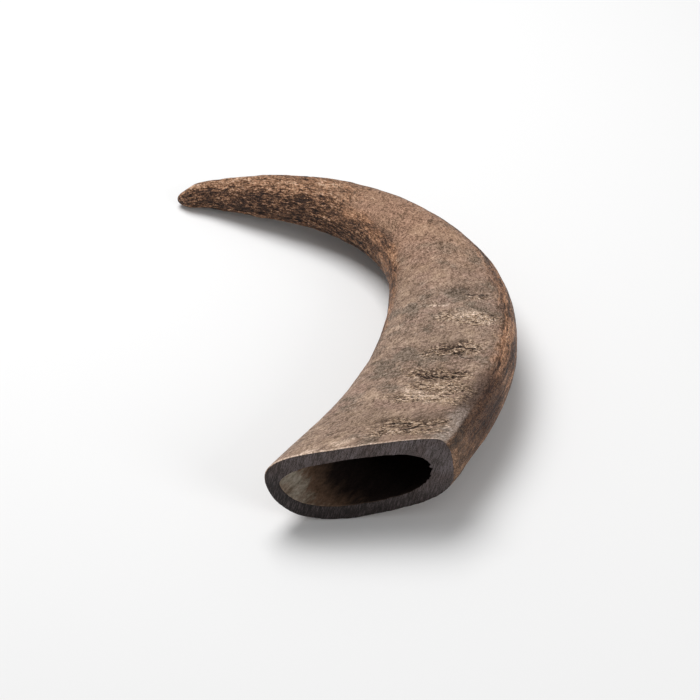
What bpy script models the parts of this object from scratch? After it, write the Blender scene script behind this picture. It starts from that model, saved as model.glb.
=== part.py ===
"""Buffalo horn: the outer length of a water buffalo's horn, sawn off at its thick end.

The horn is one solid, because it grew as one. Rings of points are set along its curved middle line and
joined by faces: the outer rings run from the sawn mouth to the blunt tip, and the inner rings line the
hollow from the mouth to its blind end. The saw cut is a flat upright face that faces -Y. The horn lies on
its flatter side on the plane z = 0 and touches it at the mouth, under the bend and at the tip. The origin
is at the middle of the bottom of the horn's box.
"""
import bmesh
import bpy
import numpy as np

# Lengths are in metres and angles in degrees. A station is a share of the middle line, from 0 at the
# sawn mouth to 1 at the tip, and each row below gives one value for each station.
MIDDLE_LINE_LENGTH = 0.320

STATIONS = (0.00, 0.12, 0.26, 0.42, 0.58, 0.76, 0.90, 1.00)
HEADING = (54, 56, 71, 92, 121.5, 151, 158, 172)
WIDTH = (0.0810, 0.0685, 0.0660, 0.0570, 0.0400, 0.0270, 0.0185, 0.0080)
THICKNESS_SHARE = (0.545, 0.58, 0.63, 0.72, 0.86, 0.96, 1.00, 1.00)
TWIST = (7.6, 8, 7, 5, 2, 0, 0, 0)
CLEARANCE = (0, 0.0016, 0.0016, 0, 0.0026, 0.0050, 0.0022, 0)

# The outline across the horn is a few worn flats that run into each other: a direction, counted from the
# horn's right side, and a distance as a share of the half width or half thickness. A high sharpness
# leaves narrow corners between the flats, and a sharpness of 2 makes the outline round.
FLATS = ((0, 1.0), (90, 0.94), (180, 0.98), (225, 1.0), (285, 0.94))
SHARPNESS_AT_MOUTH = 4.8
ROUND_SHARPNESS = 2.0
ROUND_FROM = 0.75

# Near the mouth the rings are parallel to the saw cut, and from here on they stand square across the horn.
SQUARE_FROM = 0.45
LEAN_FADE = 1.6

# The round end of the tip, as a share of the tip's width.
TIP_ROUNDING = 0.45

# The hollow: its depth along the middle line, and its width and thickness at the mouth as shares of the
# outside, which leaves a wall of 5 to 10 mm there. It narrows faster than the outside to a blunt end.
HOLLOW_DEPTH = 0.58
HOLLOW_WIDTH = 0.82
HOLLOW_THICKNESS = 0.66
HOLLOW_SHIFT = -0.0022
HOLLOW_SHARPNESS = 3.2
HOLLOW_TAPER = 1.6

POINTS_AROUND = 52
OUTER_RINGS = 60
TIP_RINGS = 4
HOLLOW_RINGS = 18
LINE_STEPS = 600

HORN_COLOUR = (0.16, 0.115, 0.085, 1.0)
HORN_ROUGHNESS = 0.55
SHARP_EDGE = np.radians(40)


def between_stations(values, at):
    """A smooth curve through the stations' values that never rises or falls past them."""
    x = np.asarray(STATIONS, float)
    y = np.asarray(values, float)
    step = np.diff(x)
    rise = np.diff(y) / step
    slope = np.zeros_like(y)
    same_way = rise[1:] * rise[:-1] > 0
    before, after = rise[:-1][same_way], rise[1:][same_way]
    slope[1:-1][same_way] = 2 * before * after / (before + after)
    slope[0], slope[-1] = rise[0], rise[-1]
    span = np.clip(np.searchsorted(x, at) - 1, 0, len(step) - 1)
    part = (at - x[span]) / step[span]
    rest = 1 - part
    return (y[span] * (1 + 2 * part) * rest**2 + y[span + 1] * part**2 * (3 - 2 * part)
            + step[span] * part * rest * (slope[span] * rest - slope[span + 1] * part))


def middle_line(at):
    """The horn's middle in plan, counted from the mouth, and its heading there."""
    share = np.linspace(0, 1, LINE_STEPS)
    heading = np.radians(between_stations(HEADING, share))
    halfway = (heading[1:] + heading[:-1]) / 2
    length = MIDDLE_LINE_LENGTH / (LINE_STEPS - 1)
    x = np.concatenate(([0], np.cumsum(np.cos(halfway)) * length))
    y = np.concatenate(([0], np.cumsum(np.sin(halfway)) * length))
    return np.interp(at, share, x), np.interp(at, share, y), np.interp(at, share, heading)


def outline(sharpness):
    """The outline's distance from its middle, once round, for a half width and half thickness of 1."""
    angle = np.linspace(0, 2 * np.pi, POINTS_AROUND, endpoint=False)
    reach = np.zeros(POINTS_AROUND)
    for direction, distance in FLATS:
        facing = np.clip(np.cos(angle - np.radians(direction)), 0, None)
        reach += (facing / distance)**sharpness
    return angle, reach**(-1 / sharpness)


def section(share, hollow=False):
    """One outline across the horn, as distances to its right and up from its middle."""
    flatness = np.clip(1 - share / ROUND_FROM, 0, 1)
    top = HOLLOW_SHARPNESS if hollow else SHARPNESS_AT_MOUTH
    angle, reach = outline(ROUND_SHARPNESS + (top - ROUND_SHARPNESS) * flatness**0.8)
    flat_part = flatness**0.7
    reach = reach * flat_part + (1 - flat_part)
    half_width = between_stations(WIDTH, share) / 2
    half_thickness = half_width * between_stations(THICKNESS_SHARE, share)
    right = reach * np.cos(angle) * half_width
    up = reach * np.sin(angle) * half_thickness
    if hollow:
        left_of_depth = 1 - (share / HOLLOW_DEPTH)**HOLLOW_TAPER
        narrowing = np.clip(left_of_depth, 0, None)**(1 / HOLLOW_TAPER)
        right = right * HOLLOW_WIDTH * narrowing + HOLLOW_SHIFT
        up = up * HOLLOW_THICKNESS * narrowing
    twist = np.radians(between_stations(TWIST, share))
    return right * np.cos(twist) - up * np.sin(twist), right * np.sin(twist) + up * np.cos(twist)


def ring(share, shrink=1.0, hollow=False):
    """One ring of points across the horn, set down at its clearance from the ground."""
    middle_x, middle_y, heading = middle_line(share)
    lean = np.radians(90 - HEADING[0]) * np.clip(1 - share / SQUARE_FROM, 0, 1)**LEAN_FADE
    across = heading - np.pi / 2 + lean
    lowest = section(share)[1].min()
    height = between_stations(CLEARANCE, share) - lowest
    right, up = section(share, hollow)
    return np.stack((middle_x + shrink * right * np.cos(across),
                     middle_y + shrink * right * np.sin(across),
                     height + shrink * up), axis=1)


def outer_rings():
    """The rings of the outside from the mouth to the tip, with the tip rounded over its last rings."""
    tip_length = TIP_ROUNDING * WIDTH[-1] / MIDDLE_LINE_LENGTH
    rings = [ring(share) for share in np.linspace(0, 1 - tip_length, OUTER_RINGS)]
    for turn in np.linspace(0, np.pi / 2, TIP_RINGS + 2)[1:-1]:
        rings.append(ring(1 - tip_length * (1 - np.sin(turn)), shrink=np.cos(turn)))
    return rings, ring(1.0, shrink=0.0).mean(axis=0)


def hollow_rings():
    """The rings that line the hollow from the mouth to its blind end, closer together near the end."""
    turns = np.linspace(0, np.pi / 2, HOLLOW_RINGS + 1)
    rings = [ring(HOLLOW_DEPTH * np.sin(turn), hollow=True) for turn in turns[:-1]]
    return rings, ring(HOLLOW_DEPTH, hollow=True).mean(axis=0)


def bridge(shape, one, other):
    """A band of faces between two rings of points."""
    for i in range(POINTS_AROUND):
        j = (i + 1) % POINTS_AROUND
        shape.faces.new((one[i], one[j], other[j], other[i]))


def skin(shape, rings, end):
    """The bands from ring to ring and the fan that closes the last one; returns the first ring."""
    loops = [[shape.verts.new(point) for point in points] for points in rings]
    for one, other in zip(loops, loops[1:]):
        bridge(shape, one, other)
    tip = shape.verts.new(end)
    last = loops[-1]
    for i in range(POINTS_AROUND):
        shape.faces.new((last[i], last[(i + 1) % POINTS_AROUND], tip))
    return loops[0]


def centre(shape):
    """Moves the shape so that the origin is at the middle of the bottom of its box."""
    points = np.array([vert.co for vert in shape.verts])
    low, high = points.min(axis=0), points.max(axis=0)
    middle = (low + high) / 2
    bmesh.ops.translate(shape, verts=shape.verts, vec=(-middle[0], -middle[1], -low[2]))


def horn_material():
    material = bpy.data.materials.new("horn_keratin")
    material.use_nodes = True
    shader = material.node_tree.nodes["Principled BSDF"]
    shader.inputs["Base Color"].default_value = HORN_COLOUR
    shader.inputs["Roughness"].default_value = HORN_ROUGHNESS
    shader.inputs["Metallic"].default_value = 0.0
    return material


def make_horn(collection):
    """The whole horn as one closed solid: outside, flat mouth and hollow."""
    shape = bmesh.new()
    outer_mouth = skin(shape, *outer_rings())
    inner_mouth = skin(shape, *hollow_rings())
    bridge(shape, inner_mouth, outer_mouth)
    bmesh.ops.recalc_face_normals(shape, faces=shape.faces)
    centre(shape)
    mesh = bpy.data.meshes.new("horn")
    shape.to_mesh(mesh)
    shape.free()
    mesh.shade_smooth()
    mesh.set_sharp_from_angle(angle=SHARP_EDGE)
    mesh.materials.append(horn_material())
    horn = bpy.data.objects.new("horn", mesh)
    collection.objects.link(horn)


def main():
    for thing in list(bpy.data.objects):
        bpy.data.objects.remove(thing)
    collection = bpy.data.collections.new("buffalo_horn")
    bpy.context.scene.collection.children.link(collection)
    make_horn(collection)


main()
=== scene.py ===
"""A worn water buffalo horn with a sawn mouth, lying on a pale studio floor."""
import math

import bpy
import numpy as np
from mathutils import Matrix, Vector, noise
from mathutils.bvhtree import BVHTree


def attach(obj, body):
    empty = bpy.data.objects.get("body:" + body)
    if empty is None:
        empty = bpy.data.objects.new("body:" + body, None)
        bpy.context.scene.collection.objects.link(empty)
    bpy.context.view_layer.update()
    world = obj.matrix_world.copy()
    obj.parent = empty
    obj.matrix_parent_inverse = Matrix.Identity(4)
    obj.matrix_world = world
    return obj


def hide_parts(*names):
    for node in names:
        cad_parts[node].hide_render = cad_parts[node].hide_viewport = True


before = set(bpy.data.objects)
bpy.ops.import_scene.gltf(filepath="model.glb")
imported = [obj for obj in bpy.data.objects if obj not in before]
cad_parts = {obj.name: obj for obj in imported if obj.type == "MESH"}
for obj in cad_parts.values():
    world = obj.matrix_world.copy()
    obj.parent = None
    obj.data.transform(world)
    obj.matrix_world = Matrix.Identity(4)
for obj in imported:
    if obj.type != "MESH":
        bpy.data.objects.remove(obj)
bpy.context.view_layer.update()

MM = 0.001

# ---- the horn's skin: rings of points across it, closer together where the gouges are ----
POINTS_ROUND = 288
FINE_SPACING = 0.95 * MM
FINE_REACH = 130 * MM
PLAIN_SPACING = 1.45 * MM
TIP_ROUND = 4.5 * MM
TIP_RINGS = 9
HOLLOW_RINGS = 44
FACE_RINGS = 7
OUTER_BEVEL = 0.55 * MM
INNER_BEVEL = 0.35 * MM
BEVEL_RING = 0.3
LOWEST_POINT = 0.05 * MM
OUTSIDE, SAWN, HOLLOW = 0, 1, 2

# ---- how the horn is walked from its mouth to its tip ----
WALK_STEP = 2 * MM
RAY_REACH = 60 * MM
SQUARE_AFTER = 144 * MM
LEAN_FADE = 1.6
FACE_MARGIN = 0.01 * MM
FIRST_LOOK = 3 * WALK_STEP
TURN_FOLLOWED = 0.35

# ---- softening the solid's facets: how many rings along, and how many points round ----
SOFT_ALONG = 3
SOFT_ROUND = 4

# ---- the tip: where its own rings are kept unsoftened, how it narrows, and the arch on top of it ----
KEPT_FROM, KEPT_TO = 14 * MM, 6 * MM
NARROWED = 8 * MM
NARROWING = 0.24
ARCH_FROM, ARCH_FULL = 24 * MM, 9 * MM
ARCH_EASED, ARCH_ENDS = 8 * MM, 1 * MM
ARCH = 0.22

# ---- how far the wear moves the skin ----
SWELL_HEIGHT = 0.5 * MM
DENT_HEIGHT = 0.15 * MM
RING_HEIGHT = 0.07 * MM
RING_LENGTH = 4.6 * MM
RING_RIPPLE = 2.2 * MM
RING_SLANT = 0.05
RIDGE_HEIGHT = 0.45 * MM
CORNER_HEIGHT = 0.75 * MM
FIBRE_HEIGHT = 0.42 * MM
LINING_HEIGHT = 0.35 * MM
RAGGED_HEIGHT = 1.3 * MM
CALM_TIP = 9 * MM

# ---- directions round the horn, in degrees ----
TOP, LEFT, UNDERNEATH = 90, 180, -90

# The crown: how far it is turned to the left, how far round it reaches, and what it loses past the bend.
CROWN_TURN, CROWN_REACH, CROWN_LOSS = 14, 70, 12
BEND_FROM, BEND_PAST = 120 * MM, 180 * MM

# A gouge's shape: where it is deepest and how far it slopes on each side of that, in half widths, and how
# far it reaches across, in half lengths.
DEEPEST_AT = 0.4
STEEP_SIDE, GENTLE_SIDE = 0.9, 2.3
GOUGE_ENDS = 1.15

# Slants of the scraper's and the saw's fine lines, in degrees.
SCRAPE_SLANT = -32
SAW_SLANT = 14

# Growth gouges on the crown, where the scraper left the rough bottoms of the rings: how far from the
# mouth and to the right of the middle, half length across, half width along, depth, and lean.
GOUGES = (
    (12 * MM, 13 * MM, 20 * MM, 4.8 * MM, 0.55 * MM, 0.10),
    (20 * MM, 12 * MM, 20 * MM, 4.0 * MM, 1.30 * MM, 0.05),
    (40 * MM, 8 * MM, 18 * MM, 5.4 * MM, 0.40 * MM, 0.05),
    (49 * MM, 11 * MM, 16 * MM, 5.0 * MM, 0.60 * MM, 0.05),
    (58 * MM, 6 * MM, 17 * MM, 4.6 * MM, 1.40 * MM, 0.02),
    (75 * MM, 7 * MM, 14 * MM, 5.6 * MM, 1.30 * MM, -0.16),
    (98 * MM, 9 * MM, 15 * MM, 5.6 * MM, 0.60 * MM, -0.10),
    (115 * MM, 12 * MM, 7 * MM, 1.2 * MM, 0.45 * MM, 0.03),
)

# Stains, bare spots and painted shade on the crown and its edges: how far from the mouth and to the right
# of the middle, half length along, half width across, and how bare it is, from -1 for dark to 1 for fresh
# and pale.
# The dark spots at the gouges' far walls, on the flank past the ridge and along the left side are painted
# shade, the other dark spots stains.
STAINS_AND_SHADE = (
    (8 * MM, 8 * MM, 9 * MM, 24 * MM, -0.3),
    (13 * MM, 8 * MM, 4 * MM, 15 * MM, 0.5),
    (23 * MM, 10 * MM, 4.6 * MM, 18 * MM, -0.75),
    (42 * MM, 6 * MM, 5.5 * MM, 18 * MM, 1.1),
    (61 * MM, 6 * MM, 4.6 * MM, 15 * MM, -0.7),
    (78 * MM, 8 * MM, 6.5 * MM, 13 * MM, -0.75),
    (26 * MM, -16 * MM, 22 * MM, 12 * MM, -0.25),
    (4 * MM, -20 * MM, 2.6 * MM, 5 * MM, 1.0),
    (7 * MM, -9 * MM, 3 * MM, 5 * MM, 1.0),
    (68 * MM, -16 * MM, 9 * MM, 8 * MM, -0.2),
    (91 * MM, -8 * MM, 11 * MM, 8 * MM, -0.35),
    (93 * MM, -18 * MM, 7 * MM, 5 * MM, 0.4),
    (103 * MM, 21 * MM, 6 * MM, 5 * MM, -0.6),
    (99 * MM, 12 * MM, 5 * MM, 12 * MM, 1.1),
    (106 * MM, -8 * MM, 1.4 * MM, 8 * MM, 0.8),
    (119 * MM, 7 * MM, 7 * MM, 10 * MM, -0.6),
    (134 * MM, 9 * MM, 3 * MM, 12 * MM, -0.4),
    (78 * MM, 20 * MM, 12 * MM, 6 * MM, 0.4),
    (140 * MM, -18 * MM, 2.5 * MM, 1.8 * MM, 0.9),
    (147 * MM, -25 * MM, 24 * MM, 7 * MM, -0.5),
    (22 * MM, 36 * MM, 18 * MM, 9 * MM, -0.6),
    (44 * MM, 30 * MM, 15 * MM, 9 * MM, -1.2),
    (62 * MM, 32 * MM, 12 * MM, 5 * MM, -0.6),
)

# Open cracks: how far from the mouth and to the right of the middle, half length across, how much they
# slant, and how wide they gape.
CRACKS = (
    (17 * MM, 17 * MM, 8 * MM, 0.35, 1.0 * MM),
    (20 * MM, 7 * MM, 6 * MM, -0.10, 0.7 * MM),
    (57 * MM, 8 * MM, 9 * MM, 0.10, 0.5 * MM),
    (71 * MM, 12 * MM, 6 * MM, -0.35, 0.5 * MM),
    (115 * MM, 11 * MM, 7 * MM, 0.05, 0.5 * MM),
)


def smooth(low, high, value):
    """0 at low, 1 at high and an even curve between them, whichever of the two is the greater."""
    share = np.clip((value - low) / (high - low), 0, 1)
    return share * share * (3 - 2 * share)


def around(angle, middle, width):
    """1 at an angle round the horn, in degrees, and 0 at width from it."""
    gap = np.abs((np.degrees(angle) - middle + 180) % 360 - 180)
    return smooth(width, 0, gap)


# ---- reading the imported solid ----

def solid_tree(node):
    """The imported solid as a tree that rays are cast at."""
    node.data.calc_loop_triangles()
    points = [vertex.co for vertex in node.data.vertices]
    return BVHTree.FromPolygons(points, [tuple(face.vertices) for face in node.data.loop_triangles])


def right_of(yaw):
    """The level direction to the right of a heading."""
    return np.array((math.sin(yaw), -math.cos(yaw), 0.0))


def cast_in(tree, centre, yaw, across, up):
    """How far the outside is from centre, in a direction in the ring's upright plane, or None."""
    direction = right_of(yaw) * across + np.array((0, 0, up))
    direction /= np.linalg.norm(direction)
    start = centre + direction * RAY_REACH
    hit = tree.ray_cast(Vector(start), Vector(-direction), RAY_REACH)
    return None if hit[0] is None else RAY_REACH - hit[3]


def cast_out(tree, centre, yaw, across, up):
    """The hollow's wall along a direction from centre, or None where the horn is solid."""
    direction = right_of(yaw) * across + np.array((0, 0, up))
    direction /= np.linalg.norm(direction)
    hit = tree.ray_cast(Vector(centre), Vector(direction), RAY_REACH)
    if hit[0] is None or hit[1].dot(Vector(direction)) > 0:
        return None
    return hit[3]


def recentre(tree, guess, yaw):
    """The middle of the ring near a guess, its half width and half thickness, or None past the tip."""
    span = [cast_in(tree, guess, yaw, across, up) for across, up in ((1, 0), (-1, 0), (0, 1), (0, -1))]
    if None in span:
        return None
    to_right, to_left, to_top, to_bottom = span
    middle = guess + right_of(yaw) * (to_right - to_left) / 2
    middle = middle + np.array((0, 0, (to_top - to_bottom) / 2))
    return middle, (to_right + to_left) / 2, (to_top + to_bottom) / 2


class MiddleLine:
    """The line through the middle of the horn, found by walking from the mouth to the tip."""

    def __init__(self, tree, node):
        points = np.array([vertex.co for vertex in node.data.vertices])
        mouth = points[points[:, 1] < points[:, 1].min() + FACE_MARGIN]
        first = (mouth.min(axis=0) + mouth.max(axis=0)) / 2
        second = recentre(tree, first + np.array((0, FIRST_LOOK, 0)), math.pi / 2)[0]
        heading = math.atan2(second[1] - first[1], second[0] - first[0])
        self.first_lean = math.pi / 2 - heading
        self.mouth_y = first[1]
        half = (mouth.max(axis=0) - mouth.min(axis=0)) / 2
        walked, centres, yaws, halves = [0.0], [first], [math.pi / 2], [(half[0], half[2])]
        while True:
            place = walked[-1] + WALK_STEP
            yaw = heading + self.lean(place)
            guess = centres[-1] + WALK_STEP * np.array((math.cos(heading), math.sin(heading), 0))
            found = recentre(tree, guess, yaw)
            if found is None:
                break
            step = found[0] - centres[-1]
            turned = math.atan2(step[1], step[0])
            heading += TURN_FOLLOWED * ((turned - heading + math.pi) % (2 * math.pi) - math.pi)
            walked.append(place)
            centres.append(found[0])
            yaws.append(yaw)
            halves.append(found[1:])
        ahead = np.array((math.cos(heading), math.sin(heading), 0))
        end = tree.ray_cast(Vector(centres[-1] + ahead * RAY_REACH), Vector(-ahead), RAY_REACH)
        self.length = walked[-1] + RAY_REACH - end[3]
        self.walked = np.array(walked + [self.length])
        self.centres = soften(np.array(centres + [np.array(end[0])]), SOFT_ALONG)
        self.yaws = soften(np.array(yaws + [yaws[-1]])[:, None], SOFT_ALONG)[:, 0]
        self.halves = np.array(halves + [halves[-1]])

    def lean(self, place):
        """How far the rings are turned from square, to be parallel to the saw cut at the mouth."""
        return self.first_lean * np.clip(1 - place / SQUARE_AFTER, 0, 1)**LEAN_FADE

    def at(self, place):
        """The middle, the yaw of the ring and its half sizes at a distance from the mouth."""
        centre = np.array([np.interp(place, self.walked, column) for column in self.centres.T])
        yaw = float(np.interp(place, self.walked, self.yaws))
        return centre, yaw, [np.interp(place, self.walked, column) for column in self.halves.T]


def weights_of(reach):
    """The shares that neighbours up to twice reach away have in an average."""
    weights = np.exp(-0.5 * (np.arange(-2 * reach, 2 * reach + 1) / reach)**2)
    return weights / weights.sum()


def soften(rows, reach):
    """Rows of values averaged with their neighbours, with both ends kept."""
    lead = 2 * rows[:1] - rows[2 * reach:0:-1]
    trail = 2 * rows[-1:] - rows[-2:-2 * reach - 2:-1]
    padded = np.concatenate((lead, rows, trail))
    result = np.zeros_like(rows, dtype=float)
    for shift, weight in enumerate(weights_of(reach)):
        result += weight * padded[shift:shift + len(rows)]
    return result


def soften_round(rows, reach):
    """Rings of values averaged with their neighbours round the horn."""
    shifts = range(-2 * reach, 2 * reach + 1)
    return sum(weight * np.roll(rows, shift, axis=1) for shift, weight in zip(shifts, weights_of(reach)))


# ---- the grid of points ----

class Skin:
    """Rings of points across the horn: where each is, and its place on the horn if it were straight."""

    def __init__(self, places, across, up, line):
        self.places, self.across, self.up = places, across, up
        rings = [line.at(place)[:2] for place in places]
        centres = np.array([centre for centre, yaw in rings])
        rights = np.array([right_of(yaw) for centre, yaw in rings])
        self.points = centres[:, None] + rights[:, None] * across[..., None]
        self.points[..., 2] += up
        self.straight = np.stack((across, up, np.broadcast_to(places[:, None], across.shape)), axis=2)
        around_step = np.roll(self.points, -1, axis=1) - np.roll(self.points, 1, axis=1)
        along_step = np.gradient(self.points, axis=0)
        normals = np.cross(along_step, around_step)
        self.normals = normals / (np.linalg.norm(normals, axis=2, keepdims=True) + 1e-12)
        self.facing = np.arctan2(self.normals[..., 2], (self.normals * rights[:, None]).sum(axis=2))

    def noise(self, size, stretch, octaves, seed):
        """Soft noise from about -1 to 1, in spots of a size that are drawn out along the horn."""
        scaled = self.straight / np.array((size, size, size * stretch)) + seed
        values = [noise.fractal(Vector(point), 1.0, 2.0, octaves) for point in scaled.reshape(-1, 3)]
        return np.array(values).reshape(self.across.shape)


def directions(half_width, half_thickness):
    """Directions from the middle of a ring to points spread along its outline."""
    turn = np.linspace(0, 2 * math.pi, POINTS_ROUND, endpoint=False)
    steps = np.stack((np.cos(turn) * half_width, np.sin(turn) * half_thickness), axis=1)
    return steps / np.linalg.norm(steps, axis=1, keepdims=True)


def outside_skin(tree, line):
    """The outside from the mouth's edge to the tip."""
    fine = np.arange(OUTER_BEVEL, FINE_REACH, FINE_SPACING)
    plain = np.arange(fine[-1] + PLAIN_SPACING, line.length - TIP_ROUND - PLAIN_SPACING / 2, PLAIN_SPACING)
    turns = np.linspace(0, math.pi / 2, TIP_RINGS + 1)[:-1]
    places = np.concatenate((fine, plain, line.length - TIP_ROUND * (1 - np.sin(turns))))
    across, up = np.zeros((2, len(places), POINTS_ROUND))
    for i, place in enumerate(places):
        centre, yaw, halves = line.at(place)
        for j, (side, rise) in enumerate(directions(*halves)):
            reach = cast_in(tree, centre, yaw, side, rise) or 0.0
            across[i, j], up[i, j] = reach * side, reach * rise
    kept = smooth(line.length - KEPT_FROM, line.length - KEPT_TO, places)[:, None]
    across = across * kept + soften(soften_round(across, SOFT_ROUND), SOFT_ALONG) * (1 - kept)
    up = up * kept + soften(soften_round(up, SOFT_ROUND), SOFT_ALONG) * (1 - kept)
    from_tip = (line.length - places)[:, None]
    narrow = 1 - NARROWING * smooth(NARROWED, 0, from_tip)
    arched = smooth(ARCH_FROM, ARCH_FULL, from_tip) * smooth(ARCH_ENDS, ARCH_EASED, from_tip)
    across, up = across * narrow, up * narrow * (1 + ARCH * arched * (up > 0))
    return Skin(places, across, up, line)


def hollow_skin(tree, line):
    """The lining of the hollow from its blind end to the mouth's inner edge."""
    depth = WALK_STEP
    while cast_out(tree, *line.at(depth + WALK_STEP)[:2], 0, 1) is not None:
        depth += WALK_STEP
    turns = np.linspace(math.pi / 2, 0, HOLLOW_RINGS + 1)[1:]
    places = INNER_BEVEL + (depth - INNER_BEVEL) * np.sin(turns)
    across, up = np.zeros((2, len(places), POINTS_ROUND))
    for i, place in enumerate(places):
        centre, yaw, halves = line.at(place)
        for j, (side, rise) in enumerate(directions(*halves)):
            reach = cast_out(tree, centre, yaw, side, rise) or 0.0
            across[i, j], up[i, j] = reach * side, reach * rise
    return Skin(places, soften_round(across, SOFT_ROUND), soften_round(up, SOFT_ROUND), line)


# ---- wear and growth, which move the skin in or out ----

def crown_of(skin):
    """1 on the flat upper side of the horn, which reaches further round to the left near the mouth."""
    lost = CROWN_LOSS * smooth(BEND_FROM, BEND_PAST, skin.straight[..., 2])
    return around(skin.facing, middle=TOP + CROWN_TURN - lost, width=CROWN_REACH - lost)


def coarse_of(skin):
    """Where the horn was never scraped and keeps its dark cracked fibres: underneath, and on the tip."""
    place = skin.straight[..., 2]
    under = around(skin.facing, middle=UNDERNEATH, width=110)
    inner_side = around(skin.facing, middle=LEFT + 25, width=110) * smooth(140 * MM, 225 * MM, place)
    tip = 0.8 * smooth(180 * MM, 250 * MM, place)
    return np.clip(np.maximum(np.maximum(under, inner_side), tip), 0, 1)


def spot_of(skin, spot, wander, power):
    """1 in the middle of a spot on the horn, given by its place and half sizes, and 0 outside it."""
    from_mouth, to_right, half_along, half_across = spot
    along = (skin.straight[..., 2] - from_mouth + wander) / half_along
    across = (skin.across - to_right + wander) / half_across
    return np.exp(-np.abs(along)**power - np.abs(across)**power)


def gouged_of(skin):
    """How deep the scraper's gouges go, steep at the side towards the tip, and where they are rough."""
    depth, rough = np.zeros((2, *skin.across.shape))
    wander = 3.5 * MM * skin.noise(9 * MM, stretch=1.0, octaves=3, seed=5.0)
    place = skin.straight[..., 2]
    for from_mouth, to_right, half_length, half_width, deep, lean in GOUGES:
        along = (place - from_mouth + lean * (skin.across - to_right) + wander) / half_width
        sideways = np.abs(skin.across - to_right + wander) / half_length
        rough = np.maximum(rough, np.exp(-np.abs(along)**2.4 - sideways**3))
        from_deepest = along - DEEPEST_AT
        slope = np.where(from_deepest > 0, STEEP_SIDE, GENTLE_SIDE)
        depth += deep * np.exp(-(from_deepest / slope)**2 - (sideways / GOUGE_ENDS)**3)
    return depth, rough


def bare_of(skin):
    """Where stains and painted shade darken the horn, down to -1, and where it is scraped bare, up to 1.
    """
    wander = 6 * MM * skin.noise(14 * MM, stretch=1.0, octaves=4, seed=33.0)
    on_top = smooth(-30, 10, np.degrees(skin.facing))
    return on_top * sum(spot[4] * spot_of(skin, spot[:4], wander, 2.0) for spot in STAINS_AND_SHADE)


def wear_outside(skin, length):
    """Moves the outside in and out, and returns what its finish reads at each point."""
    crown, coarse = crown_of(skin), coarse_of(skin)
    depth, rough = gouged_of(skin)
    on_top = smooth(0.02, 0.3, crown)
    depth, rough = depth * on_top, rough * on_top
    place = skin.straight[..., 2]
    side = 1 - crown
    ridge = around(skin.facing, middle=62, width=30) * smooth(100 * MM, 45 * MM, place)
    ripple = skin.noise(12 * MM, stretch=0.5, octaves=2, seed=3.0)
    rings = np.sin((place + RING_RIPPLE * ripple + RING_SLANT * skin.across) / RING_LENGTH)
    fade = smooth(235 * MM, 60 * MM, place)
    fibres = skin.noise(2.2 * MM, stretch=7.0, octaves=4, seed=20.0)
    cracks = np.clip(1 - np.abs(skin.noise(5.0 * MM, stretch=5.0, octaves=3, seed=40.0)) * 4.5, 0, 1)**2
    pits = skin.noise(3.2 * MM, stretch=0.36, octaves=4, seed=60.0)
    relief = np.maximum(coarse, 0.4 * side) * (fibres * 1.3 - cracks * 0.9) + rough * pits * 1.8
    height = SWELL_HEIGHT * skin.noise(22 * MM, stretch=1.3, octaves=2, seed=1.0)
    height += DENT_HEIGHT * skin.noise(7 * MM, stretch=1.0, octaves=3, seed=8.0)
    corner = RIDGE_HEIGHT + CORNER_HEIGHT * smooth(45 * MM, 5 * MM, place)
    height += RING_HEIGHT * rings * crown * fade + corner * ridge
    sawn_smooth = 0.3 + 0.7 * smooth(0, 7 * MM, place)
    height += FIBRE_HEIGHT * relief * sawn_smooth - depth
    calm = smooth(0, CALM_TIP, length - place)
    skin.points += skin.normals * (height * calm)[..., None]
    return {"crown": crown, "coarse": coarse, "gouged": rough, "ridge": ridge, "relief": relief,
            "bare": bare_of(skin)}


def wear_hollow(skin):
    """A rough lining, with a ragged edge at the right of the mouth, where the lining faces left."""
    place = skin.straight[..., 2]
    height = LINING_HEIGHT * skin.noise(5 * MM, stretch=3.0, octaves=3, seed=80.0)
    ragged = around(skin.facing, middle=LEFT, width=60) * smooth(6 * MM, 0, place)
    height += RAGGED_HEIGHT * ragged * skin.noise(1.3 * MM, stretch=1.0, octaves=2, seed=90.0)
    skin.points += skin.normals * height[..., None]


# ---- putting the horn's mesh together ----

def mouth_face(hollow, outside, mouth_y):
    """Rings from the hollow's edge over the sawn face to the outside's edge."""
    inner, outer = hollow.points[-1].copy(), outside.points[0].copy()
    inner[:, 1] = outer[:, 1] = mouth_y
    wall = outer - inner
    thick = np.linalg.norm(wall, axis=1, keepdims=True)
    wall_way = wall / thick
    inner_round, outer_round = BEVEL_RING * INNER_BEVEL, BEVEL_RING * OUTER_BEVEL
    rings = [inner + wall_way * inner_round + np.array((0, inner_round, 0))]
    for share in np.linspace(0, 1, FACE_RINGS):
        inset = INNER_BEVEL + (thick - INNER_BEVEL - OUTER_BEVEL) * share
        rings.append(inner + wall_way * inset)
    rings.append(outer - wall_way * outer_round + np.array((0, outer_round, 0)))
    return np.array(rings)


def faces_between(count):
    """The outward faces between rings of points, and the fans that close the first and last ring."""
    index = np.arange(count * POINTS_ROUND).reshape(count, POINTS_ROUND)
    after = np.roll(index, -1, axis=1)
    quads = np.stack((index[:-1], index[1:], after[1:], after[:-1]), axis=2).reshape(-1, 4)
    blind_end, tip = count * POINTS_ROUND, count * POINTS_ROUND + 1
    fans = [(blind_end, int(a), int(b)) for a, b in zip(index[0], after[0])]
    fans += [(int(b), int(a), tip) for a, b in zip(index[-1], after[-1])]
    return quads.tolist() + fans


def slots_between(count, face_start, face_end):
    """The finish of each face, in the order of faces_between."""
    bands = np.full(count - 1, OUTSIDE)
    bands[:face_start - 1] = HOLLOW
    bands[face_start - 1:face_end - 1] = SAWN
    fans = [HOLLOW] * POINTS_ROUND + [OUTSIDE] * POINTS_ROUND
    return np.concatenate((np.repeat(bands, POINTS_ROUND), fans)).astype(np.int32)


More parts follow.
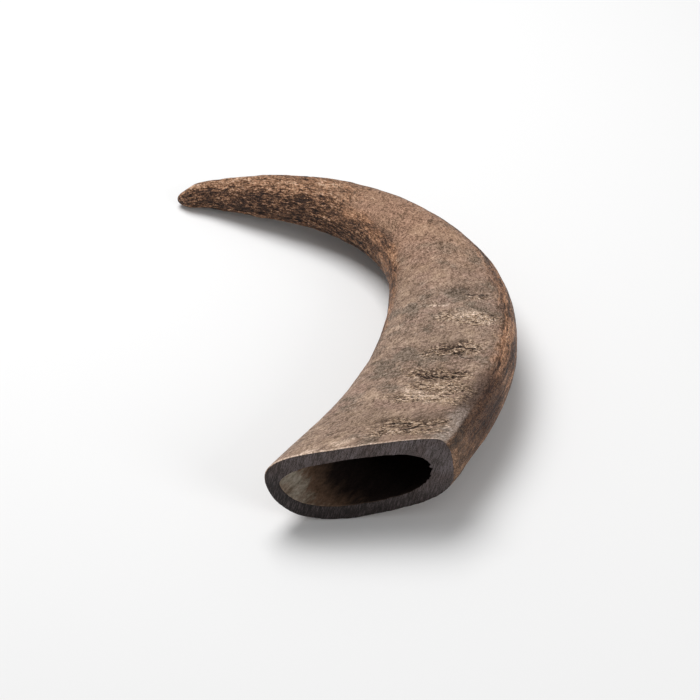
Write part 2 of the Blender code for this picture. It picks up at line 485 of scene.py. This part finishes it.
def make_horn(node):
    """The whole horn as one mesh: hollow, sawn face and outside, each with its own finish."""
    tree = solid_tree(node)
    line = MiddleLine(tree, node)
    outside = outside_skin(tree, line)
    hollow = hollow_skin(tree, line)
    marks = wear_outside(outside, line.length)
    wear_hollow(hollow)
    face = mouth_face(hollow, outside, line.mouth_y)
    face_start, face_end = len(hollow.points), len(hollow.points) + len(face)
    rings = np.concatenate((hollow.points, face, outside.points))
    rings[..., 2] = np.maximum(rings[..., 2], LOWEST_POINT)
    ends = [hollow.points[0].mean(axis=0), line.at(line.length)[0]]
    mesh = bpy.data.meshes.new("horn_skin")
    mesh.from_pydata(np.concatenate((rings.reshape(-1, 3), ends)).tolist(), [], faces_between(len(rings)))
    mesh.shade_smooth()
    mesh.polygons.foreach_set("material_index", slots_between(len(rings), face_start, face_end))

    straight = np.zeros((len(rings), POINTS_ROUND, 3))
    straight[:face_start] = hollow.straight
    straight[face_start:face_end] = outside.straight[0]
    straight[face_end:] = outside.straight
    straight_ends = [straight[0].mean(axis=0), (0, 0, line.length)]
    store(mesh, "straight", np.concatenate((straight.reshape(-1, 3), straight_ends)))
    for name, values in marks.items():
        whole = np.zeros((len(rings), POINTS_ROUND))
        whole[face_start:face_end] = values[0]
        whole[face_end:] = values
        store(mesh, name, np.concatenate((whole.reshape(-1), [0, values[-1].mean()])))

    horn = bpy.data.objects.new("horn_piece", mesh)
    bpy.context.scene.collection.objects.link(horn)
    for finish in (outside_finish(), sawn_finish(), hollow_finish()):
        mesh.materials.append(finish)
    return horn


def store(mesh, name, values):
    """Keeps a number or a vector for every point of the mesh, for its finish to read."""
    kind, field = ("FLOAT_VECTOR", "vector") if values.ndim == 2 else ("FLOAT", "value")
    mesh.attributes.new(name, kind, "POINT").data.foreach_set(field, values.astype(np.float32).reshape(-1))


# ---- finishes ----

def paint(red, green, blue):
    """A colour given in the 0 to 255 steps of a paint chart, as the shader's linear colour."""
    linear = [part / 12.92 if part <= 0.04045 else ((part + 0.055) / 1.055)**2.4
              for part in (red / 255, green / 255, blue / 255)]
    return (*linear, 1.0)


class Amount:
    """A number that varies over the surface; arithmetic on it adds Math nodes."""

    def __init__(self, finish, socket):
        self.finish, self.socket = finish, socket

    def math(self, operation, *others):
        values = {i: value for i, value in enumerate(others)}
        return Amount(self.finish, self.finish.node("ShaderNodeMath", {"operation": operation}, values))

    def __add__(self, other):
        return self.math("ADD", self, other)

    def __radd__(self, other):
        return self.math("ADD", other, self)

    def __sub__(self, other):
        return self.math("SUBTRACT", self, other)

    def __rsub__(self, other):
        return self.math("SUBTRACT", other, self)

    def __mul__(self, other):
        return self.math("MULTIPLY", self, other)

    def __rmul__(self, other):
        return self.math("MULTIPLY", other, self)

    def __pow__(self, other):
        return self.math("POWER", self, other)

    def __abs__(self):
        return self.math("ABSOLUTE", self)

    def most(self, other):
        return self.math("MAXIMUM", self, other)

    def least(self, other):
        return self.math("MINIMUM", self, other)

    def between(self, low, high):
        """0 at low, 1 at high and a soft curve between, whichever of the two is the greater."""
        settings = {"interpolation_type": "SMOOTHSTEP"}
        sockets = {"Value": self, "From Min": low, "From Max": high}
        return Amount(self.finish, self.finish.node("ShaderNodeMapRange", settings, sockets))


# How strongly red and blue follow a change of tone, and the darkest tone that a grain may give.
RED_TONE = 0.92
BLUE_TONE = 1.12
DARKEST_TONE = 0.3


class Finish:
    """A material and the nodes that make it."""

    def __init__(self, name):
        self.material = bpy.data.materials.new(name)
        self.material.use_nodes = True
        self.tree = self.material.node_tree
        self.tree.nodes.clear()

    def node(self, kind, settings=None, sockets=None, output=0):
        """Adds a node: its settings first, then the values or links of its sockets; returns one output."""
        made = self.tree.nodes.new(kind)
        for name, value in (settings or {}).items():
            if name == "stops":
                self.set_stops(made.color_ramp, value)
            else:
                setattr(made, name, value)
        for name, value in (sockets or {}).items():
            if isinstance(value, Amount):
                value = value.socket
            if isinstance(value, bpy.types.NodeSocket):
                self.tree.links.new(value, made.inputs[name])
            else:
                made.inputs[name].default_value = value
        return made.outputs[output] if made.outputs else made

    @staticmethod
    def set_stops(ramp, stops):
        """Gives a ramp its colours and where each is."""
        while len(ramp.elements) < len(stops):
            ramp.elements.new(1.0)
        for element, (position, colour) in zip(ramp.elements, stops):
            element.position, element.color = position, colour

    def mark(self, name):
        """One of the numbers kept for each point of the mesh."""
        return Amount(self, self.node("ShaderNodeAttribute", {"attribute_name": name}, None, "Fac"))

    def place(self):
        """Where a point is on the horn if it were straight: across, up and along."""
        return self.node("ShaderNodeAttribute", {"attribute_name": "straight"}, None, "Vector")

    def across(self, place):
        """How far to the right of the middle a point is."""
        return Amount(self, self.node("ShaderNodeSeparateXYZ", None, {0: place}, "X"))

    def along(self, place):
        """How far from the mouth a point is, along the horn."""
        return Amount(self, self.node("ShaderNodeSeparateXYZ", None, {0: place}, "Z"))

    def noise(self, place, sizes, detail, rough, seed):
        """Noise from 0 to 1 whose spots have a size, in metres, across, up and along the horn."""
        scale = [1 / size for size in sizes]
        scaled = self.node("ShaderNodeVectorMath", {"operation": "MULTIPLY"}, {0: place, 1: scale})
        moved = self.node("ShaderNodeVectorMath", {"operation": "ADD"}, {0: scaled, 1: (seed,) * 3})
        sockets = {"Vector": moved, "Scale": 1.0, "Detail": detail, "Roughness": rough}
        return Amount(self, self.node("ShaderNodeTexNoise", None, sockets, "Fac"))

    def bent(self, place, size, reach, seed):
        """A place pushed about by soft noise, so that what is drawn there wanders."""
        scale = (1 / size,) * 3
        scaled = self.node("ShaderNodeVectorMath", {"operation": "MULTIPLY"}, {0: place, 1: scale})
        moved = self.node("ShaderNodeVectorMath", {"operation": "ADD"}, {0: scaled, 1: (seed,) * 3})
        sockets = {"Vector": moved, "Scale": 1.0, "Detail": 2.0}
        push = self.node("ShaderNodeTexNoise", None, sockets, "Color")
        centred = self.node("ShaderNodeVectorMath", {"operation": "SUBTRACT"}, {0: push, 1: (0.5,) * 3})
        wide = self.node("ShaderNodeVectorMath", {"operation": "MULTIPLY"}, {0: centred, 1: (reach,) * 3})
        return self.node("ShaderNodeVectorMath", {"operation": "ADD"}, {0: place, 1: wide})

    def mix(self, share, one, other):
        """One colour turning into another as share goes from 0 to 1."""
        settings = {"data_type": "RGBA", "clamp_factor": True}
        return self.node("ShaderNodeMix", settings, {0: share, 6: one, 7: other}, 2)

    def ramp(self, value, stops):
        """The colour that a number has on a scale of colours."""
        return self.node("ShaderNodeValToRGB", {"stops": stops}, {"Fac": value}, "Color")

    def shade(self, colour, amount):
        """A colour made paler or darker by a number near 1. Darks turn browner, and lights greyer."""
        tones = {0: amount**RED_TONE, 1: amount, 2: amount**BLUE_TONE}
        tint = self.node("ShaderNodeCombineXYZ", None, tones)
        return self.node("ShaderNodeVectorMath", {"operation": "MULTIPLY"}, {0: colour, 1: tint})

    def bump(self, height, distance):
        """The surface's direction where a height from 0 to 1 stands for a distance."""
        return self.node("ShaderNodeBump", None, {"Height": height, "Distance": distance}, "Normal")

    def surface(self, colour, roughness, normal, specular):
        """Ends the material with its shader."""
        sockets = {"Base Color": colour, "Roughness": roughness, "Normal": normal,
                   "Specular IOR Level": specular}
        shader = self.node("ShaderNodeBsdfPrincipled", None, sockets)
        self.node("ShaderNodeOutputMaterial", None, {"Surface": shader})
        return self.material


TAN = paint(172, 146, 124)
TAUPE = paint(146, 122, 105)
ROSE = paint(148, 121, 106)
OLIVE = paint(124, 107, 92)
# A painted highlight on the ridge near the mouth, and the painted shade on it further along.
RIDGE_HIGHLIGHT = paint(176, 160, 148)
SHADE = paint(92, 75, 66)
MOSS = paint(104, 82, 61)
HONEY = paint(184, 145, 115)
GOLD = paint(174, 145, 113)
PALE = paint(222, 196, 175)
UMBER = paint(114, 83, 63)
BROWN = paint(84, 60, 46)
RUST = paint(154, 112, 83)
# Stain colours that also carry painted shade; the side's copy is darker, painted shade on flanks away from
# the light.
DIRT_AND_SHADE = paint(68, 50, 40)
SIDE_DIRT_AND_SHADE = paint(60, 38, 27)
DARK = paint(54, 38, 31)
# The near black of pits, cracks, fissures and the deep hollow: painted shade.
PIT_SHADE = paint(28, 19, 16)
SLATE = paint(83, 74, 73)
SLATE_BROWN = paint(70, 58, 55)
# Pale saw lines, partly painted highlight.
ASH_AND_HIGHLIGHT = paint(100, 90, 91)
# Painted shade for the bottom and left of the sawn face.
LOW_SHADE = paint(32, 24, 22)
LINING = paint(144, 134, 120)
LINING_STAIN = paint(126, 111, 96)
# The hollow's brown deeper in, partly its own colour and partly painted shade.
LINING_BROWN_AND_SHADE = paint(98, 76, 60)


def crown_paint(fin, at, clouds, patches):
    """Scraped crown: clouds of dull olive and tan over taupe, and warmer towards the neck."""
    colour = fin.mix(clouds.between(0.41, 0.50), OLIVE, TAUPE)
    colour = fin.mix((clouds * 0.6 + patches * 0.4).between(0.49, 0.60) * 0.85, colour, TAN)
    rosy = fin.noise(at, (22 * MM, 22 * MM, 14 * MM), detail=3, rough=0.6, seed=31.0)
    colour = fin.mix(rosy.between(0.50, 0.62) * 0.7, colour, ROSE)
    neck = (fin.along(at) + (clouds - 0.5) * 60 * MM).between(105 * MM, 190 * MM)
    return fin.mix(neck * 0.5, colour, RUST)


def side_paint(fin, at, fibre):
    """Hardly scraped flanks: warm brown and painted shade, drawn out along the horn, with dark fissures.
    """
    bands = fin.noise(at, (4 * MM, 4 * MM, 22 * MM), detail=4, rough=0.6, seed=12.5)
    colour = fin.ramp(bands * 0.6 + fibre * 0.4, [
        (0.37, DARK), (0.42, BROWN), (0.475, UMBER), (0.54, RUST), (0.64, HONEY)])
    near_mouth = (fin.along(at) + (fibre - 0.5) * 30 * MM).between(50 * MM, 10 * MM)
    colour = fin.mix(near_mouth * 0.5, colour, MOSS)
    # Dark fissures: painted shade in the cracks.
    cloven = fin.noise(at, (3.2 * MM, 3.2 * MM, 15 * MM), detail=5, rough=0.6, seed=21.0)
    fissures = 1 - abs(cloven - 0.5) * 22
    return fin.mix(fissures.between(0.1, 0.9) * bands.between(0.56, 0.42) * 0.85, colour, PIT_SHADE)


def fibre_paint(fin, at, fibre, relief):
    """Unscraped fibre: orange tan on top, and dark and cracked lower down, partly as painted light and
    shade.
    """
    streak = fin.noise(at, (5 * MM, 5 * MM, 18 * MM), detail=3, rough=0.5, seed=6.5)
    dashes = fin.noise(at, (0.85 * MM, 0.85 * MM, 2.6 * MM), detail=3, rough=0.8, seed=16.0)
    # Painted light and shade: lighter where the fibre faces up and where its relief is raised, darker
    # lower down.
    height = fin.mark("crown") * 0.085 + 0.002 + relief * 0.035
    level = 0.5 + (fibre - 0.5) * 0.5 + (streak - 0.5) * 0.25 + (dashes - 0.5) * 0.8 + height
    return fin.ramp(level, [
        (0.34, PIT_SHADE), (0.43, DARK), (0.50, BROWN), (0.57, RUST), (0.65, HONEY), (0.78, PALE)])


def gouge_paint(fin, at, pits, relief, bare):
    """Rough gouge bottoms: dark pits and cracks, and pale torn flecks."""
    # Painted light and shade: paler on raised relief, darker at the far walls; near black pits and cracks
    # are painted shade.
    colour = fin.ramp(0.51 + (pits - 0.5) * 1.35 + relief * 0.06 + bare * 0.07, [
        (0.38, PIT_SHADE), (0.44, BROWN), (0.49, TAUPE), (0.54, GOLD), (0.63, PALE)])
    cracked = fin.noise(at, (8 * MM, 8 * MM, 3 * MM), detail=4, rough=0.6, seed=44.0)
    cracks = 1 - abs(cracked - 0.5) * 40
    return fin.mix(cracks.between(0.2, 0.8) * 0.9, colour, PIT_SHADE)


def open_cracks(fin, at):
    """1 in the dark line of each open crack, which wanders as it runs across the horn."""
    soft = fin.noise(at, (5 * MM, 5 * MM, 5 * MM), detail=4, rough=0.6, seed=52.0)
    wander = (soft - 0.5) * 9 * MM
    across, along = fin.across(at), fin.along(at)
    whole = None
    for from_mouth, to_right, half_length, slant, gap in CRACKS:
        sideways = across - to_right
        beside = abs(along - from_mouth - sideways * slant - wander)
        within = abs(sideways).between(half_length, 0.6 * half_length)
        line = beside.between(gap, 0.3 * gap) * within
        whole = line if whole is None else whole.most(line)
    return whole


def outside_finish():
    """Scraped crown with gouges, stains and painted shade; brown flanks; dark cracked fibre below and at
    the tip.
    """
    fin = Finish("worn_and_shaded_outside")
    at = fin.place()
    clouds = fin.noise(at, (20 * MM, 20 * MM, 17 * MM), detail=5, rough=0.62, seed=1.3)
    patches = fin.noise(at, (5 * MM, 5 * MM, 6 * MM), detail=4, rough=0.65, seed=4.1)
    wandering = fin.bent(at, 7 * MM, 5 * MM, 17.0)
    slanted = fin.node("ShaderNodeMapping", {"vector_type": "TEXTURE"},
                       {"Vector": wandering, "Rotation": (0, math.radians(SCRAPE_SLANT), 0)})
    grain = fin.noise(wandering, (0.8 * MM, 0.8 * MM, 2.2 * MM), detail=4, rough=0.75, seed=7.7)
    speck = fin.noise(at, (0.8 * MM, 0.8 * MM, 0.6 * MM), detail=3, rough=0.75, seed=2.2)
    lines = fin.noise(slanted, (4 * MM, 4 * MM, 0.7 * MM), detail=4, rough=0.7, seed=9.2)
    fibre = fin.noise(at, (0.9 * MM, 0.9 * MM, 4.5 * MM), detail=6, rough=0.75, seed=3.3)
    pits = fin.noise(wandering, (2.0 * MM, 2.0 * MM, 0.75 * MM), detail=5, rough=0.75, seed=5.9)
    relief, bare, crown = fin.mark("relief"), fin.mark("bare"), fin.mark("crown")
    uneven = patches - 0.5

    # Flanks turn to the darker side colours by how they face: partly their own brown, partly painted
    # shade.
    side = (1 - crown + uneven * 0.9).between(0.35, 0.85)
    colour = fin.mix(side, crown_paint(fin, at, clouds, patches), side_paint(fin, at, fibre))
    # Stains, and painted shade at the gouges' far walls and past the ridge; on the flanks a darker copy,
    # painted shade.
    stain_and_shade = (uneven * 1.2 - bare).between(0.0, 1.1)
    colour = fin.mix(stain_and_shade * 0.8, colour, fin.mix(side, DIRT_AND_SHADE, SIDE_DIRT_AND_SHADE))
    # A painted highlight along the ridge near the mouth, turning into painted shade further along.
    ridge = (fin.mark("ridge") + uneven * 0.6).between(0.2, 0.9)
    beyond = (fin.along(at) + uneven * 20 * MM).between(20 * MM, 42 * MM)
    colour = fin.mix(ridge * 0.7, colour, fin.mix(beyond, RIDGE_HIGHLIGHT, SHADE))
    scraped = (uneven * 1.4 + bare).between(0.2, 0.9)
    colour = fin.mix(scraped * 0.65, colour, PALE)
    coarse = (fin.mark("coarse") + uneven * 1.3).between(0.3, 0.75)
    colour = fin.mix(coarse, colour, fibre_paint(fin, at, fibre, relief))
    gouged = (fin.mark("gouged") + uneven * 1.1).between(0.12, 0.85)
    colour = fin.mix(gouged * 0.92, colour, gouge_paint(fin, at, pits, relief, bare))
    # Open cracks painted near black: painted shade in their gaps.
    cracked = open_cracks(fin, at) * crown
    colour = fin.mix(cracked * 0.92, colour, PIT_SHADE)
    # A painted highlight: a pale line along the mouth's top edge.
    rim_highlight = fin.along(at).between(1.6 * MM, 0.5 * MM) * crown
    colour = fin.mix(rim_highlight * 0.6, colour, PALE)

    texture = (grain - 0.5) * 4.0 + (speck - 0.5) * 3.0 + (lines - 0.5) * (3.0 - side * 3.0)
    strength = 0.75 + clouds.between(0.6, 0.4) * 0.4 + side * (0.8 - ridge * 0.8)
    tone = 1 + texture * strength + (patches - 0.5) * 0.7
    colour = fin.shade(colour, tone.most(DARKEST_TONE))
    rough = 0.54 + (grain - 0.5) * 0.5 + coarse * 0.1 + gouged * 0.12
    height = grain * 0.5 + speck * 0.4 + lines * 0.3 + fibre * (coarse + side * 0.5) * 1.4
    height = height + pits * gouged * 1.3 - cracked * 0.8
    return fin.surface(colour, rough, fin.bump(height, 0.6 * MM), specular=0.18)


def sawn_finish():
    """Slate grey horn with fine saw lines across the wall, and painted shade low down and to the left."""
    fin = Finish("sawn_face")
    here = fin.node("ShaderNodeTexCoord", None, None, "Object")
    turned = fin.node("ShaderNodeMapping", {"vector_type": "TEXTURE"},
                      {"Vector": here, "Rotation": (0, math.radians(SAW_SLANT), 0)})
    scratches = fin.noise(turned, (0.5 * MM, 5 * MM, 5 * MM), detail=5, rough=0.75, seed=2.0)
    bands = fin.noise(turned, (2.2 * MM, 9 * MM, 16 * MM), detail=3, rough=0.6, seed=5.0)
    specks = fin.noise(here, (0.6 * MM, 0.6 * MM, 0.6 * MM), detail=3, rough=0.7, seed=3.0)
    cloud = fin.noise(here, (9 * MM, 9 * MM, 9 * MM), detail=3, rough=0.6, seed=8.0)
    height = Amount(fin, fin.node("ShaderNodeSeparateXYZ", None, {0: here}, "Z"))
    sideways = Amount(fin, fin.node("ShaderNodeSeparateXYZ", None, {0: here}, "X"))
    colour = fin.mix(cloud.between(0.35, 0.7), SLATE, SLATE_BROWN)
    # Painted shade: darker towards the bottom of the face and towards its left.
    shaded_low = height + sideways.least(0) * 0.4 + (cloud - 0.5) * 12 * MM
    colour = fin.mix(shaded_low.between(27 * MM, 3 * MM), colour, LOW_SHADE)
    tone = 1 + (scratches - 0.5) * 7.0 + (bands - 0.5) * 1.6 + (specks - 0.5) * 4.0
    colour = fin.shade(colour, tone.most(DARKEST_TONE))
    # Pale saw lines laid over the painted shade too: the cut's scratches, partly painted highlight.
    colour = fin.mix(scratches.between(0.50, 0.60) * 0.45, colour, ASH_AND_HIGHLIGHT)
    bump = fin.bump(scratches + specks * 0.4, 0.3 * MM)
    return fin.surface(colour, 0.55 + (scratches - 0.5) * 0.4, bump, specular=0.25)


def hollow_finish():
    """Dull lining: olive grey at the mouth, then rusty brown with painted shade, then painted black deep
    inside.
    """
    fin = Finish("hollow_lining")
    at = fin.place()
    stains = fin.noise(at, (7 * MM, 7 * MM, 12 * MM), detail=5, rough=0.65, seed=1.0)
    spots = fin.noise(at, (1.2 * MM, 1.2 * MM, 2.0 * MM), detail=5, rough=0.75, seed=6.0)
    streaks = fin.noise(at, (2.4 * MM, 2.4 * MM, 15 * MM), detail=5, rough=0.7, seed=26.0)
    # Painted shade: deeper in and towards the right the lining turns brown, partly its own colour, then
    # near black.
    shade_depth = fin.along(at) + (fin.across(at) + 32 * MM).most(0) * 0.8
    shade_depth = shade_depth + (stains - 0.5) * 26 * MM + (streaks - 0.5) * 22 * MM
    colour = fin.mix(stains.between(0.42, 0.56), LINING, LINING_STAIN)
    colour = fin.mix(shade_depth.between(7 * MM, 16 * MM), colour, LINING_BROWN_AND_SHADE)
    colour = fin.mix(shade_depth.between(13 * MM, 32 * MM), colour, PIT_SHADE)
    # A painted highlight: a paler line along the mouth's inner edge.
    edge = fin.along(at).between(1.2 * MM, 0.4 * MM)
    colour = fin.mix(edge * 0.3, colour, TAUPE)
    tone = 1 + (spots - 0.5) * 2.4 + (streaks - 0.5) * 1.6
    colour = fin.shade(colour, tone.most(DARKEST_TONE))
    return fin.surface(colour, 0.8, fin.bump(spots + stains, 0.5 * MM), specular=0.15)


# ---- studio ----

CAMERA_AZIMUTH = -4
CAMERA_ELEVATION = 40
CAMERA_DISTANCE = 906.4 * MM
CAMERA_LENS = 101.66
CAMERA_AIM = (0.8 * MM, -30.6 * MM, 20 * MM)
SENSOR_WIDTH = 36
FLOOR_SIZE = 12
FLOOR_WHITE = (0.86, 0.86, 0.86, 1)
SKY_STRENGTH = 0.3


def make_camera(aim):
    """The camera, which looks down at the mouth from the front."""
    azimuth, elevation = math.radians(CAMERA_AZIMUTH), math.radians(CAMERA_ELEVATION)
    back = Vector((math.sin(azimuth) * math.cos(elevation),
                   -math.cos(azimuth) * math.cos(elevation), math.sin(elevation)))
    data = bpy.data.cameras.new("camera")
    data.lens, data.sensor_width = CAMERA_LENS, SENSOR_WIDTH
    camera = bpy.data.objects.new("camera", data)
    bpy.context.scene.collection.objects.link(camera)
    camera.location = aim + back * CAMERA_DISTANCE
    camera.rotation_mode = "QUATERNION"
    camera.rotation_quaternion = (-back).to_track_quat("-Z", "Y")
    bpy.context.scene.camera = camera


def make_floor():
    """A plain pale floor under the horn."""
    bpy.ops.mesh.primitive_plane_add(size=FLOOR_SIZE)
    floor = bpy.context.object
    floor.name = "studio_floor"
    fin = Finish("pale_floor")
    shader = fin.node("ShaderNodeBsdfPrincipled", None,
                      {"Base Color": FLOOR_WHITE, "Roughness": 0.9, "Specular IOR Level": 0.1})
    fin.node("ShaderNodeOutputMaterial", None, {"Surface": shader})
    floor.data.materials.append(fin.material)


def make_light(name, place, size, watts):
    """A soft rectangular lamp that points at the horn."""
    data = bpy.data.lights.new(name, "AREA")
    data.shape, data.size, data.size_y, data.energy = "RECTANGLE", size[0], size[1], watts
    light = bpy.data.objects.new(name, data)
    bpy.context.scene.collection.objects.link(light)
    light.location = place
    light.rotation_mode = "QUATERNION"
    light.rotation_quaternion = (-Vector(place)).to_track_quat("-Z", "Y")


def make_studio():
    """The floor, two soft lamps and an even white sky."""
    make_floor()
    make_light("overhead_softbox", place=(-0.25, 0.40, 1.1), size=(0.8, 0.6), watts=13)
    make_light("front_fill", place=(0.75, -0.8, 0.55), size=(0.5, 0.5), watts=3.2)
    world = bpy.data.worlds.new("studio")
    world.use_nodes = True
    background = world.node_tree.nodes["Background"]
    background.inputs["Color"].default_value = (1, 1, 1, 1)
    background.inputs["Strength"].default_value = SKY_STRENGTH
    bpy.context.scene.world = world
    bpy.context.scene.view_settings.view_transform = "Standard"


horn_piece = make_horn(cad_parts["horn"])
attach(horn_piece, "root")
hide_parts("horn")
make_studio()
make_camera(Vector(CAMERA_AIM))
